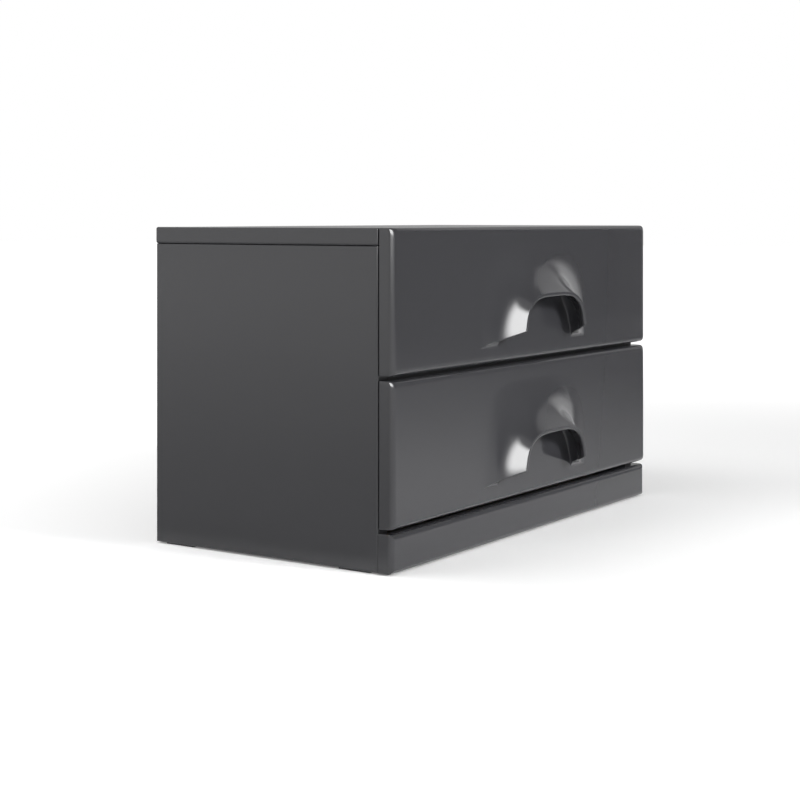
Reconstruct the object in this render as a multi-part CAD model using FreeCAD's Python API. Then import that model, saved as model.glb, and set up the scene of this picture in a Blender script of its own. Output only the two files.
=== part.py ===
"""Two-drawer tabletop chest in lacquered board, with a hood handle moulded into each drawer front.

Frame: X to the right, Y to the back, Z up, in millimetres. The origin lies on the
table, under the centre of the chest with its handles.
"""
import FreeCAD, Part
import math
import os

V = FreeCAD.Vector
LEFT = V(-1, 0, 0)
RIGHT = V(1, 0, 0)
FORWARD = V(0, -1, 0)
UP = V(0, 0, 1)
SAME_PLACE = 1e-6

# Whole chest
case_width = 400.0
case_depth = 205.0
foot_pad_height = 1.0
plinth_height = 27.5
front_gap = 3.0
front_height = 103.0

# Boards of the case
side_thickness = 12.0
top_thickness = 12.5
bottom_thickness = 12.0
divider_thickness = 12.0
plinth_thickness = 12.0
back_thickness = 4.0
back_inset = 5.0
back_groove_depth = 6.0
back_groove_play = 0.2
board_edge_radius = 1.5
bottom_below_plinth_top = 1.5
divider_back_play = 1.0
base_rail_thickness = 12.0
base_rail_floor_gap = 1.0
corner_block_width = 20.0
corner_block_floor_gap = 2.0
corner_block_radius = 4.0

# Drawer fronts
front_thickness = 12.0
front_edge_radius = 4.0
front_standoff = 1.0

# Hood handle, measured from the lower edge of the drawer front
hood_projection = 20.0
hood_base_height = 15.0
hood_underside_rise = 8.5
hood_foot_half_width = 84.0
hood_foot_height = 90.0
hood_foot_fullness = 4.1
hood_rim_half_width = 50.75
hood_rim_height = 51.6
hood_rim_fullness = 3.6
hood_waist_drop = 1.33
hood_side_flare = 3.75
hood_top_flare = 2.57
hood_flare_start = 0.004
hood_section_count = 8
hood_section_pace = 2.4
hood_rim_flat = 1.5
hood_lip_radius = 3.7
hood_lip_turn = 80.0
hood_lip_section_count = 5
hood_lip_fullness = 4.0
hood_pocket_half_width = 61.3
hood_pocket_height = 65.0
hood_pocket_fullness = 1.95
hood_arch_point_count = 21

# Drawer boxes
box_back_play = 11.0
box_top_play = 6.5
box_lift = 8.0
box_side_thickness = 10.0
box_end_thickness = 10.0
box_bottom_thickness = 4.0
box_bottom_inset = 6.0
box_groove_depth = 5.0
box_groove_play = 0.2
box_edge_radius = 1.0

# Ball-bearing slides, one pair for each drawer
slide_space = 10.0
slide_setback = 2.0
slide_back_setback = 1.0
slide_overlap_when_open = 47.0
slide_height = 27.0
slide_steel = 1.0
slide_bend_radius = 0.3
slide_centre_above_box = 32.0
channel_flange_width = 7.0
channel_lip_height = 2.3
ball_radius = 1.6
ball_play = 0.05
ball_pitch = 9.0
ball_row_count = 5
rail_flange_gap = 2.2
cage_steel = 0.4
cage_gap = 0.35
cage_lip_gap = 0.3
cage_end_play = 0.3
stop_tab_width = 8.0
stop_tab_length = 1.0
channel_stop_depth = 2.6

# Fasteners, pads and bumpers
case_dowel_radius = 3.0
case_dowel_length = 24.0
case_dowel_face_depth = 8.0
case_dowel_end_distance = 28.0
box_dowel_radius = 2.5
box_dowel_length = 20.0
box_dowel_face_depth = 7.0
box_dowel_end_distance = 16.0
dowel_play = 0.05
dowel_end_play = 0.5
slide_screw_radius = 1.5
slide_screw_head_radius = 2.8
slide_screw_head_depth = 1.3
channel_screw_length = 10.0
rail_screw_length = 8.0
slide_screw_end_distance = 12.0
front_screw_radius = 2.0
front_screw_head_radius = 3.8
front_screw_head_depth = 1.8
front_screw_length = 18.0
front_screw_side_distance = 36.0
front_screw_edge_distance = 17.0
back_screw_radius = 1.5
back_screw_head_radius = 2.8
back_screw_head_depth = 1.3
back_screw_length = 16.0
back_screw_count = 4
back_screw_end_distance = 40.0
plinth_dowel_end_distance = 7.0
screw_play = 0.02
foot_pad_width = 8.0
foot_pad_length = 28.0
foot_pad_end_distance = 8.0
bumper_radius = 3.5
bumper_play = 0.1
bumper_edge_distance = 16.0

# Heights, from the table up
case_bottom = foot_pad_height
plinth_top = case_bottom + plinth_height
lower_front_bottom = plinth_top + front_gap
upper_front_bottom = lower_front_bottom + front_height + front_gap
case_top = upper_front_bottom + front_height
side_top = case_top - top_thickness
bottom_top = plinth_top - bottom_below_plinth_top
bottom_underside = bottom_top - bottom_thickness
divider_centre = upper_front_bottom - front_gap / 2
divider_underside = divider_centre - divider_thickness / 2
divider_top = divider_centre + divider_thickness / 2
front_bottoms = {"upper": upper_front_bottom, "lower": lower_front_bottom}
box_height = front_height - top_thickness - box_top_play - box_lift

# Widths, from the middle outwards
half_width = case_width / 2
inner_half = half_width - side_thickness
box_half = inner_half - slide_space
box_inner_half = box_half - box_side_thickness

# Depths, from the handles to the back
total_depth = hood_projection + front_thickness + front_standoff + case_depth
rim_plane = -total_depth / 2
face_plane = rim_plane + hood_projection
box_front = face_plane + front_thickness
case_front = box_front + front_standoff
case_back = case_front + case_depth
back_panel_back = case_back - back_inset
back_panel_front = back_panel_back - back_thickness
box_back = back_panel_front - box_back_play
slide_front = case_front + slide_setback
slide_back = box_back - slide_back_setback
slide_length = slide_back - slide_front
drawer_travel = slide_length - slide_overlap_when_open


def block(x0, x1, y0, y1, z0, z1):
    """A board between three pairs of planes."""
    return Part.makeBox(x1 - x0, y1 - y0, z1 - z0, V(x0, y0, z0))


def rod(radius, length, start, direction):
    return Part.makeCylinder(radius, length, start, direction)


def mirrored(shape):
    """The same shape on the other side of the chest's middle plane."""
    return shape.mirror(V(0, 0, 0), V(1, 0, 0))


def rounded(shape, radius, wanted):
    """Round the straight edges for which wanted(start, end) holds."""
    edges = [e for e in shape.Edges if wanted(e.Vertexes[0].Point, e.Vertexes[-1].Point)]
    return shape.makeFillet(radius, edges)


def both_at(axis, value):
    """A test for edges that lie wholly at one coordinate."""
    return lambda a, b: abs(a[axis] - value) < SAME_PLACE and abs(b[axis] - value) < SAME_PLACE


def upright(a, b):
    """A test for edges that stand straight up."""
    return abs(a.x - b.x) < SAME_PLACE and abs(a.y - b.y) < SAME_PLACE


def along_slide(a, b):
    """A test for the long edges of a slide's members."""
    return abs(a.y - b.y) > slide_length / 2


def spread(first, last, count):
    """Evenly spaced places from first to last."""
    return [first + (last - first) * i / (count - 1) for i in range(count)]


def group(shapes):
    """Like solids that share one node."""
    return Part.makeCompound(shapes)


def dowel(radius, length, centre, direction):
    """A round pin with chamfered ends, given by its middle and its direction."""
    start = centre - direction * (length / 2)
    body = rod(radius, length, start, direction)
    return body.makeChamfer(radius / 4, [e for e in body.Edges if len(e.Vertexes) == 1])


def dowel_hole(radius, length, centre, direction):
    """The drilled hole for a dowel, with room for glue round it and at its ends."""
    full = length + 2 * dowel_end_play
    return rod(radius + dowel_play, full, centre - direction * (full / 2), direction)


def screw(radius, head_radius, head_depth, length, head_point, direction):
    """A countersunk screw: its flat head lies at head_point and it drives along direction."""
    head = Part.makeCone(head_radius, radius, head_depth, head_point, direction)
    point_length = 2 * radius
    shank_length = length - head_depth - point_length
    shank = rod(radius, shank_length, head_point + direction * head_depth, direction)
    tip_start = head_point + direction * (head_depth + shank_length)
    tip = Part.makeCone(radius, radius / 4, point_length, tip_start, direction)
    drive = rod(radius * 0.75, head_depth * 0.7, head_point, direction)
    return head.fuse([shank, tip]).removeSplitter().cut(drive)


def screw_hole(radius, head_radius, head_depth, length, head_point, direction):
    """The countersunk pilot hole that a screw fills."""
    head = Part.makeCone(head_radius + screw_play, radius + screw_play, head_depth, head_point, direction)
    bore = rod(radius + screw_play, length + screw_play, head_point, direction)
    return head.fuse(bore)


# Dowels of the case: where they lie and which way they point, for the left side
dowel_depth_shift = case_dowel_length / 2 - case_dowel_face_depth
dowel_rows = spread(case_front + case_dowel_end_distance, back_panel_front - case_dowel_end_distance, 3)
side_middle = -(half_width - side_thickness / 2)


def case_dowel_places():
    """Rows of dowels between the side panel and the top, the bottom and the divider."""
    places = []
    for y in dowel_rows:
        places.append((V(side_middle, y, side_top - dowel_depth_shift), UP))
        inward = -inner_half + dowel_depth_shift
        places.append((V(inward, y, bottom_top - bottom_thickness / 2), RIGHT))
        places.append((V(inward, y, divider_centre), RIGHT))
    return places


def plinth_dowel_places():
    """Two dowels in each side panel's front edge, for the left side."""
    y = case_front + dowel_depth_shift
    low = case_bottom + plinth_dowel_end_distance
    high = plinth_top - plinth_dowel_end_distance
    return [(V(side_middle, y, z), FORWARD) for z in (low, high)]


def bottom_plinth_dowel_places():
    """Three dowels from the plinth into the bottom panel's front edge."""
    y = case_front + dowel_depth_shift
    reach = inner_half - case_dowel_end_distance
    return [(V(x, y, bottom_top - bottom_thickness / 2), FORWARD) for x in spread(-reach, reach, 3)]


def both_sides(places):
    return places + [(V(-p.x, p.y, p.z), V(-d.x, d.y, d.z)) for p, d in places]


all_case_dowels = both_sides(case_dowel_places())
all_plinth_dowels = both_sides(plinth_dowel_places()) + bottom_plinth_dowel_places()
all_case_holes = [dowel_hole(case_dowel_radius, case_dowel_length, p, d)
                  for p, d in all_case_dowels + all_plinth_dowels]


def slide_centre(level):
    """Height of a drawer's slides."""
    return front_bottoms[level] + box_lift + slide_centre_above_box


def slide_screw_rows():
    return spread(slide_front + slide_screw_end_distance, slide_back - slide_screw_end_distance, 3)


def channel_screw_places(level):
    x = -inner_half + slide_steel
    return [V(x, y, slide_centre(level)) for y in slide_screw_rows()]


def rail_screw_places(level):
    x = -box_half - slide_steel
    return [V(x, y, slide_centre(level)) for y in slide_screw_rows()]


def channel_screw(maker, point):
    return maker(slide_screw_radius, slide_screw_head_radius, slide_screw_head_depth,
                 channel_screw_length, point, LEFT)


def rail_screw(maker, point):
    return maker(slide_screw_radius, slide_screw_head_radius, slide_screw_head_depth,
                 rail_screw_length, point, RIGHT)


def back_screw(maker, x):
    head = V(x, back_panel_back, bottom_top - bottom_thickness / 2)
    return maker(back_screw_radius, back_screw_head_radius, back_screw_head_depth,
                 back_screw_length, head, FORWARD)


def back_screw_xs():
    reach = inner_half - back_screw_end_distance
    return spread(-reach, reach, back_screw_count)


def front_screw(maker, level, x, z):
    head = V(x, box_front + box_end_thickness, front_bottoms[level] + box_lift + z)
    return maker(front_screw_radius, front_screw_head_radius, front_screw_head_depth,
                 front_screw_length, head, FORWARD)


def front_screw_spots():
    x = box_inner_half - front_screw_side_distance
    low = box_bottom_inset + box_bottom_thickness + front_screw_edge_distance
    high = box_height - front_screw_edge_distance
    return [(sx * x, z) for sx in (-1, 1) for z in (low, high)]


# Boards of the case

def top_panel():
    panel = block(-half_width, half_width, case_front, case_back, side_top, case_top)
    panel = rounded(panel, board_edge_radius,
                    lambda a, b: both_at(0, half_width)(a, b) or both_at(0, -half_width)(a, b)
                    or both_at(1, case_back)(a, b))
    groove = block(-inner_half - back_groove_depth, inner_half + back_groove_depth,
                   back_panel_front - back_groove_play, back_panel_back + back_groove_play,
                   side_top, side_top + back_groove_depth)
    return panel.cut([groove] + all_case_holes)


def left_side_panel():
    panel = block(-half_width, -inner_half, case_front, case_back, case_bottom, side_top)
    panel = rounded(panel, board_edge_radius, both_at(0, -half_width))
    groove = block(-inner_half - back_groove_depth, -inner_half,
                   back_panel_front - back_groove_play, back_panel_back + back_groove_play,
                   bottom_underside, side_top)
    screws = [channel_screw(screw_hole, p) for level in front_bottoms for p in channel_screw_places(level)]
    return panel.cut([groove] + screws + all_case_holes)


def bottom_panel():
    panel = block(-inner_half, inner_half, case_front, back_panel_front, bottom_underside, bottom_top)
    screws = [back_screw(screw_hole, x) for x in back_screw_xs()]
    return panel.cut(screws + all_case_holes)


def drawer_divider():
    panel = block(-inner_half, inner_half, case_front, back_panel_front - divider_back_play,
                  divider_underside, divider_top)
    return panel.cut(all_case_holes)


def back_panel():
    reach = inner_half + back_groove_depth - back_groove_play
    panel = block(-reach, reach, back_panel_front, back_panel_back,
                  bottom_underside, side_top + back_groove_depth - back_groove_play)
    return panel.cut([back_screw(screw_hole, x) for x in back_screw_xs()])


def plinth_front():
    face = case_front - plinth_thickness
    board = block(-half_width, half_width, face, case_front, case_bottom, plinth_top)
    board = rounded(board, front_edge_radius, both_at(1, face))
    return board.cut(all_case_holes)


def rear_base_rail():
    back = back_panel_front
    return block(-inner_half, inner_half, back - base_rail_thickness, back,
                 case_bottom + base_rail_floor_gap, bottom_underside)


def corner_blocks():
    """Glue blocks under the bottom panel, behind the plinth and before the rear rail.
    Each has one free corner, which is rounded."""
    low = case_bottom + corner_block_floor_gap
    rail_front = back_panel_front - base_rail_thickness
    free_x = -inner_half + corner_block_width
    blocks = []
    for held_y, free_y in ((case_front, case_front + corner_block_width),
                           (rail_front, rail_front - corner_block_width)):
        body = block(-inner_half, free_x, min(held_y, free_y), max(held_y, free_y), low, bottom_underside)
        corner = V(free_x, free_y, low)
        blocks.append(rounded(body, corner_block_radius, lambda a, b: upright(a, b) and upright(a, corner)))
    return group(blocks + [mirrored(b) for b in blocks])


def foot_pads():
    """Felt strips under both ends of each side panel."""
    reach = foot_pad_width / 2
    front_start = case_front + foot_pad_end_distance
    back_start = case_back - foot_pad_end_distance - foot_pad_length
    pads = [block(side_middle - reach, side_middle + reach, y, y + foot_pad_length, 0, foot_pad_height)
            for y in (front_start, back_start)]
    pads = [rounded(pad, foot_pad_width / 4, upright) for pad in pads]
    return group(pads + [mirrored(pad) for pad in pads])


def front_bumpers():
    """Small soft dots on the side panels' front edges, where each drawer front closes."""
    dots = []
    for bottom in front_bottoms.values():
        for z in (bottom + bumper_edge_distance, bottom + front_height - bumper_edge_distance):
            dots.append(rod(bumper_radius, front_standoff - bumper_play,
                            V(side_middle, case_front, z), FORWARD))
    return group(dots + [mirrored(d) for d in dots])


# Ball-bearing slides. They are drawn on the left of the chest: "across" is the distance
# from the case towards the drawer, and "up" the height over the slide's centre line.

def slide_bar(level, across0, across1, up0, up1, y0, y1):
    centre = slide_centre(level)
    return block(-inner_half + across0, -inner_half + across1, y0, y1, centre + up0, centre + up1)


ball_height = slide_height / 2 - slide_steel - ball_play - ball_radius
rail_half = ball_height - ball_radius - ball_play
cage_half = ball_height + cage_steel / 2
ball_inset = channel_flange_width / 2
cage_front = slide_front + stop_tab_length + cage_end_play + drawer_travel / 2
cage_length = slide_overlap_when_open - 2 * (stop_tab_length + cage_end_play)


def slide_channel(level):
    half = slide_height / 2
    web = slide_bar(level, 0, slide_steel, -half, half, slide_front, slide_back)
    bars = []
    for side in (-1, 1):
        low, high = sorted((side * (half - slide_steel), side * half))
        bars.append(slide_bar(level, 0, channel_flange_width, low, high, slide_front, slide_back))
        low, high = sorted((side * (half - channel_lip_height), side * half))
        bars.append(slide_bar(level, channel_flange_width - slide_steel, channel_flange_width,
                              low, high, slide_front, slide_back))
    channel = rounded(web.fuse(bars).removeSplitter(), slide_bend_radius, along_slide)
    stop = slide_bar(level, slide_steel / 2, channel_stop_depth, -stop_tab_width / 2, stop_tab_width / 2,
                     slide_front, slide_front + stop_tab_length)
    holes = [channel_screw(screw_hole, p) for p in channel_screw_places(level)]
    return channel.fuse(stop).removeSplitter().cut(holes)


def slide_rail(level):
    web = slide_bar(level, slide_space - slide_steel, slide_space, -rail_half, rail_half,
                    slide_front, slide_back)
    bars = []
    for side in (-1, 1):
        low, high = sorted((side * (rail_half - slide_steel), side * rail_half))
        bars.append(slide_bar(level, rail_flange_gap, slide_space, low, high, slide_front, slide_back))
    rail = rounded(web.fuse(bars).removeSplitter(), slide_bend_radius, along_slide)
    stop = slide_bar(level, slide_steel + cage_gap, slide_space - slide_steel / 2,
                     -stop_tab_width / 2, stop_tab_width / 2, slide_back - stop_tab_length, slide_back)
    holes = [rail_screw(screw_hole, p) for p in rail_screw_places(level)]
    return rail.fuse(stop).removeSplitter().cut(holes)


def ball_points(level):
    centre = slide_centre(level)
    middle = cage_front + cage_length / 2
    reach = ball_pitch * (ball_row_count - 1) / 2
    return [V(-inner_half + ball_inset, y, centre + side * ball_height)
            for side in (-1, 1) for y in spread(middle - reach, middle + reach, ball_row_count)]


def ball_cage(level):
    y0 = cage_front
    y1 = cage_front + cage_length
    inner = slide_steel + cage_gap
    web = slide_bar(level, inner, inner + cage_steel, -cage_half, cage_half, y0, y1)
    bars = []
    for side in (-1, 1):
        low, high = sorted((side * (cage_half - cage_steel), side * cage_half))
        bars.append(slide_bar(level, inner, channel_flange_width - slide_steel - cage_lip_gap,
                              low, high, y0, y1))
    holes = [rod(ball_radius + ball_play, 4 * ball_play + 2 * cage_steel,
                 p - UP * (2 * ball_play + cage_steel), UP) for p in ball_points(level)]
    return web.fuse(bars).removeSplitter().cut(holes)


def slide_balls(level):
    return group([Part.makeSphere(ball_radius, p) for p in ball_points(level)])


# Drawer boxes

def box_dowel_places(level):
    """Dowels from the left box side into the ends of the box's front and back boards."""
    x = -box_inner_half + box_dowel_length / 2 - box_dowel_face_depth
    low = front_bottoms[level] + box_lift + box_dowel_end_distance
    high = front_bottoms[level] + box_lift + box_height - box_dowel_end_distance
    ys = (box_front + box_end_thickness / 2, box_back - box_end_thickness / 2)
    return [(V(x, y, z), RIGHT) for y in ys for z in (low, high)]


def box_dowel_holes(level):
    return [dowel_hole(box_dowel_radius, box_dowel_length, p, d)
            for p, d in both_sides(box_dowel_places(level))]


def box_bottom_groove(level):
    """Room for the bottom panel, cut into the four boards round it."""
    z = front_bottoms[level] + box_lift + box_bottom_inset
    return block(-box_inner_half - box_groove_depth, box_inner_half + box_groove_depth,
                 box_front + box_end_thickness - box_groove_depth,
                 box_back - box_end_thickness + box_groove_depth,
                 z - box_groove_play / 2, z + box_bottom_thickness + box_groove_play / 2)


def box_side(level):
    z0 = front_bottoms[level] + box_lift
    board = block(-box_half, -box_inner_half, box_front, box_back, z0, z0 + box_height)
    board = rounded(board, box_edge_radius, both_at(2, z0 + box_height))
    screws = [rail_screw(screw_hole, p) for p in rail_screw_places(level)]
    return board.cut([box_bottom_groove(level)] + box_dowel_holes(level) + screws)


def box_end(level, y0):
    z0 = front_bottoms[level] + box_lift
    board = block(-box_inner_half, box_inner_half, y0, y0 + box_end_thickness, z0, z0 + box_height)
    return board.cut([box_bottom_groove(level)] + box_dowel_holes(level))


def box_inner_front(level):
    holes = [front_screw(screw_hole, level, x, z) for x, z in front_screw_spots()]
    return box_end(level, box_front).cut(holes)


def box_bottom(level):
    z = front_bottoms[level] + box_lift + box_bottom_inset
    reach = box_groove_depth - box_groove_play
    return block(-box_inner_half - reach, box_inner_half + reach,
                 box_front + box_end_thickness - reach, box_back - box_end_thickness + reach,
                 z, z + box_bottom_thickness)


# Drawer fronts with their hood handles. Each section of the hood, parallel to the face, is
# the upper half of a superellipse, centred on the lower edge of the drawer front.

def arch_wire(projection, half_wide, tall, fullness):
    """A closed arch at one distance from the face."""
    y = face_plane - projection
    arc = []
    for angle in spread(math.pi, 0.0, hood_arch_point_count):
        across, up = math.cos(angle), math.sin(angle)
        reach = (abs(across) ** fullness + abs(up) ** fullness) ** (-1 / fullness)
        arc.append(V(half_wide * across * reach, y, tall * up * reach))
    curve = Part.BSplineCurve()
    curve.interpolate(Points=arc, InitialTangent=UP, FinalTangent=-UP)
    return Part.Wire([curve.toShape(), Part.LineSegment(arc[-1], arc[0]).toShape()])


def between(first, last, part):
    return first + (last - first) * part


def flare(t, power):
    """Share of the way from foot to rim at a reach t: gentle at the face, steepest at the rim."""
    root = hood_flare_start ** (1 / power)
    return ((t + hood_flare_start) ** (1 / power) - root) / ((1 + hood_flare_start) ** (1 / power) - root)


def hood_section(step):
    """The hood's outline. The steps from 0 to 1 crowd towards the face."""
    t = step ** hood_section_pace
    fullness = between(hood_foot_fullness, hood_rim_fullness, step) - 4 * hood_waist_drop * step * (1 - step)
    return arch_wire(hood_projection * t,
                     between(hood_foot_half_width, hood_rim_half_width, flare(t, hood_side_flare)),
                     between(hood_foot_height, hood_rim_height, flare(t, hood_top_flare)), fullness)


def pocket_section(projection, widening):
    """The pocket's outline: it narrows evenly towards the rim, and widens there in its lip."""
    t = projection / hood_projection
    wall = hood_rim_flat + hood_lip_radius
    eased = (hood_rim_fullness - hood_lip_fullness) * widening / hood_lip_radius
    return arch_wire(projection,
                     between(hood_pocket_half_width, hood_rim_half_width - wall, t) + widening,
                     between(hood_pocket_height, hood_rim_height - wall, t) + widening,
                     between(hood_pocket_fullness, hood_lip_fullness, t) + eased)


def hood():
    """The hollow hood, cut underneath by a plane that rises from the face to the rim."""
    outer = Part.makeLoft([hood_section(step) for step in spread(0.0, 1.0, hood_section_count)], True, False)
    turns = [math.radians(degrees) for degrees in spread(0, hood_lip_turn, hood_lip_section_count)]
    lip_start = hood_projection - hood_lip_radius * math.sin(turns[-1])
    pocket = Part.makeLoft([pocket_section(0.0, 0.0), pocket_section(lip_start, 0.0)], True, True)
    lip = Part.makeLoft([pocket_section(lip_start + hood_lip_radius * math.sin(turn),
                                        hood_lip_radius * (1 - math.cos(turn))) for turn in turns], True, False)
    reach = 2 * hood_foot_half_width
    overshoot = 1.0
    slope = hood_underside_rise / hood_projection
    wedge = Part.makePolygon([
        V(-reach, face_plane, -overshoot), V(-reach, face_plane, hood_base_height),
        V(-reach, rim_plane - overshoot, hood_base_height + slope * (hood_projection + overshoot)),
        V(-reach, rim_plane - overshoot, -overshoot), V(-reach, face_plane, -overshoot)])
    underside = Part.Face(wedge).extrude(V(2 * reach, 0, 0))
    return outer.cut([pocket, lip, underside])


def blank_front():
    """A drawer front with its hood, before it is drilled: its lower edge lies at height 0."""
    board = block(-half_width, half_width, face_plane, box_front, 0, front_height)
    board = rounded(board, front_edge_radius, both_at(1, face_plane))
    return board.fuse(hood()).removeSplitter()


def drawer_front(level):
    front = blank_front()
    front.translate(V(0, 0, front_bottoms[level]))
    return front.cut([front_screw(screw_hole, level, x, z) for x, z in front_screw_spots()])


def write(name, shape):
    """One file per sub-part, with the sub-part's name."""
    if not shape.isValid():
        print("not valid:", name)
    shape.exportStep("parts/" + name + ".step")
    print(name, len(shape.Solids), round(shape.Volume, 1))


def write_pair(name_pattern, left_shape):
    write(name_pattern.format("left"), left_shape)
    write(name_pattern.format("right"), mirrored(left_shape))


def write_case():
    write("top_panel", top_panel())
    write_pair("{}_side_panel", left_side_panel())
    write("bottom_panel", bottom_panel())
    write("drawer_divider", drawer_divider())
    write("back_panel", back_panel())
    write("plinth_front", plinth_front())
    write("rear_base_rail", rear_base_rail())
    write("corner_blocks", corner_blocks())
    write("case_dowels", group([dowel(case_dowel_radius, case_dowel_length, p, d)
                                for p, d in all_case_dowels]))
    write("plinth_dowels", group([dowel(case_dowel_radius, case_dowel_length, p, d)
                                  for p, d in all_plinth_dowels]))
    write("back_panel_screws", group([back_screw(screw, x) for x in back_screw_xs()]))
    write("foot_pads", foot_pads())
    write("front_bumpers", front_bumpers())
    screws = [channel_screw(screw, p) for level in front_bottoms for p in channel_screw_places(level)]
    write("slide_channel_screws", group(screws + [mirrored(s) for s in screws]))


def write_drawer(level):
    write_pair(level + "_{}_slide_channel", slide_channel(level))
    write(level + "_drawer_front", drawer_front(level))
    write_pair(level + "_drawer_{}_side", box_side(level))
    write(level + "_drawer_inner_front", box_inner_front(level))
    write(level + "_drawer_back", box_end(level, box_back - box_end_thickness))
    write(level + "_drawer_bottom", box_bottom(level))
    write(level + "_drawer_dowels", group([dowel(box_dowel_radius, box_dowel_length, p, d)
                                           for p, d in both_sides(box_dowel_places(level))]))
    write(level + "_drawer_front_screws", group([front_screw(screw, level, x, z)
                                                 for x, z in front_screw_spots()]))
    write_pair(level + "_{}_slide_rail", slide_rail(level))
    rail_screws = [rail_screw(screw, p) for p in rail_screw_places(level)]
    write(level + "_slide_rail_screws", group(rail_screws + [mirrored(s) for s in rail_screws]))
    write_pair(level + "_{}_ball_cage", ball_cage(level))
    balls = slide_balls(level)
    write_pair(level + "_{}_slide_balls", balls)


os.makedirs("parts", exist_ok=True)
write_case()
for level in front_bottoms:
    write_drawer(level)
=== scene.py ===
"""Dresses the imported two-drawer tabletop chest: lacquered boards with a hood handle moulded
into each drawer front, plywood drawer boxes on ball-bearing slides, and the studio round it.

Lengths are in metres. X runs to the right of the chest, Y to its back and Z up.
"""
import math

import bmesh
import bpy
import numpy as np
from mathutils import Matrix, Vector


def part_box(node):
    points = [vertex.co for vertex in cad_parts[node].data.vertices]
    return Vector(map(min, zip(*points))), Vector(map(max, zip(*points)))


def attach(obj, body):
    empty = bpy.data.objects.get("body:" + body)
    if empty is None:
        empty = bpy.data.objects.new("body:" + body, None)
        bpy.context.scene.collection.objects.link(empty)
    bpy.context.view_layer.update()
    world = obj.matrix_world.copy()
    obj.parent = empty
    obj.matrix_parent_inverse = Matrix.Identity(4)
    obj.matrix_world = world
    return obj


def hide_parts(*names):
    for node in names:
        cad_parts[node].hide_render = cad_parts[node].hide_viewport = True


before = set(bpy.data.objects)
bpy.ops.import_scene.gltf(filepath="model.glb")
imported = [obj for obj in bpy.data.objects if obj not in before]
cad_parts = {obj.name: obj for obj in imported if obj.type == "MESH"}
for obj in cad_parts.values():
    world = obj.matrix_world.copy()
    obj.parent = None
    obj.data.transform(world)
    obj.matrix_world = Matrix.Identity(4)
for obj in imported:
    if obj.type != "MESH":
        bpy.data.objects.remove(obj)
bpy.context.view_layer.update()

bl_info = {
    "name": "Hooded Tabletop Chest",
    "version": (1, 0, 0),
    "blender": (4, 5, 0),
    "location": "3D View > Sidebar > Chest",
    "description": "Builds the looks of a lacquered two-drawer chest round its packed model",
    "category": "Object",
}

MM = 0.001
X, Y, Z = 0, 1, 2
LEVELS = ("upper", "lower")

# Corners closer than this become one
WELD_STEP = 1e-6
# Facets that meet at less than this shade as one curved surface
CREASE_DEGREES = 35
# Turns at which a rounded edge and the lip between rim and pocket have their rows
QUARTER = np.radians([0, 15, 30, 45, 60, 75, 90])
LIP_TURNS = np.radians([0, 22, 44, 66, 90])
# Rows of the hood's wall before its lip. They crowd towards the face: their reach is an even
# step to the power of the pace
WALL_ROWS = 12
SECTION_PACE = 2.4
# Columns up either side of the hood and over its top, and the column at which the pocket's
# back turns from its side to its top
SIDE_STEPS, TOP_STEPS, POCKET_CORNER = 12, 30, 14
# Even rows on the face round the hood, and on the strip below it
FACE_ROWS, STRIP_ROWS = 4, 3
# Distance from the hood's foot to the next row on the face
FOOT_STEP = 1.2 * MM
# Distances from a line to the next row that keep it sharp, and one as a share of an arch
SHARP_STEP, CRISP_STEP = 0.8 * MM, 0.3 * MM
END_COLUMN = 0.005
# The same for the edges of a board, and the least radius of its corners
BOARD_STEP = 0.25 * MM
LEAST_CORNER = 0.02 * MM


# Sizes and colours that a user would change

def length(name, description, default_mm):
    return bpy.props.FloatProperty(name=name, description=description, default=default_mm * MM,
                                   min=0.0, subtype="DISTANCE", unit="LENGTH", precision=5)


def share(name, description, default):
    return bpy.props.FloatProperty(name=name, description=description, default=default,
                                   min=0.0, max=1.0, subtype="FACTOR")


def number(name, description, default):
    return bpy.props.FloatProperty(name=name, description=description, default=default)


def linear(hex_colour):
    """sRGB hex to linear light: c / 12.92 below 0.04045, else ((c + 0.055) / 1.055) ^ 2.4."""
    code = np.array([int(hex_colour[i:i + 2], 16) for i in (1, 3, 5)]) / 255.0
    light = np.where(code <= 0.04045, code / 12.92, ((code + 0.055) / 1.055) ** 2.4)
    return tuple(float(c) for c in light)


def colour(name, description, hex_colour):
    return bpy.props.FloatVectorProperty(name=name, description=description, subtype="COLOR",
                                         size=3, min=0.0, max=1.0, default=linear(hex_colour))


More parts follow.
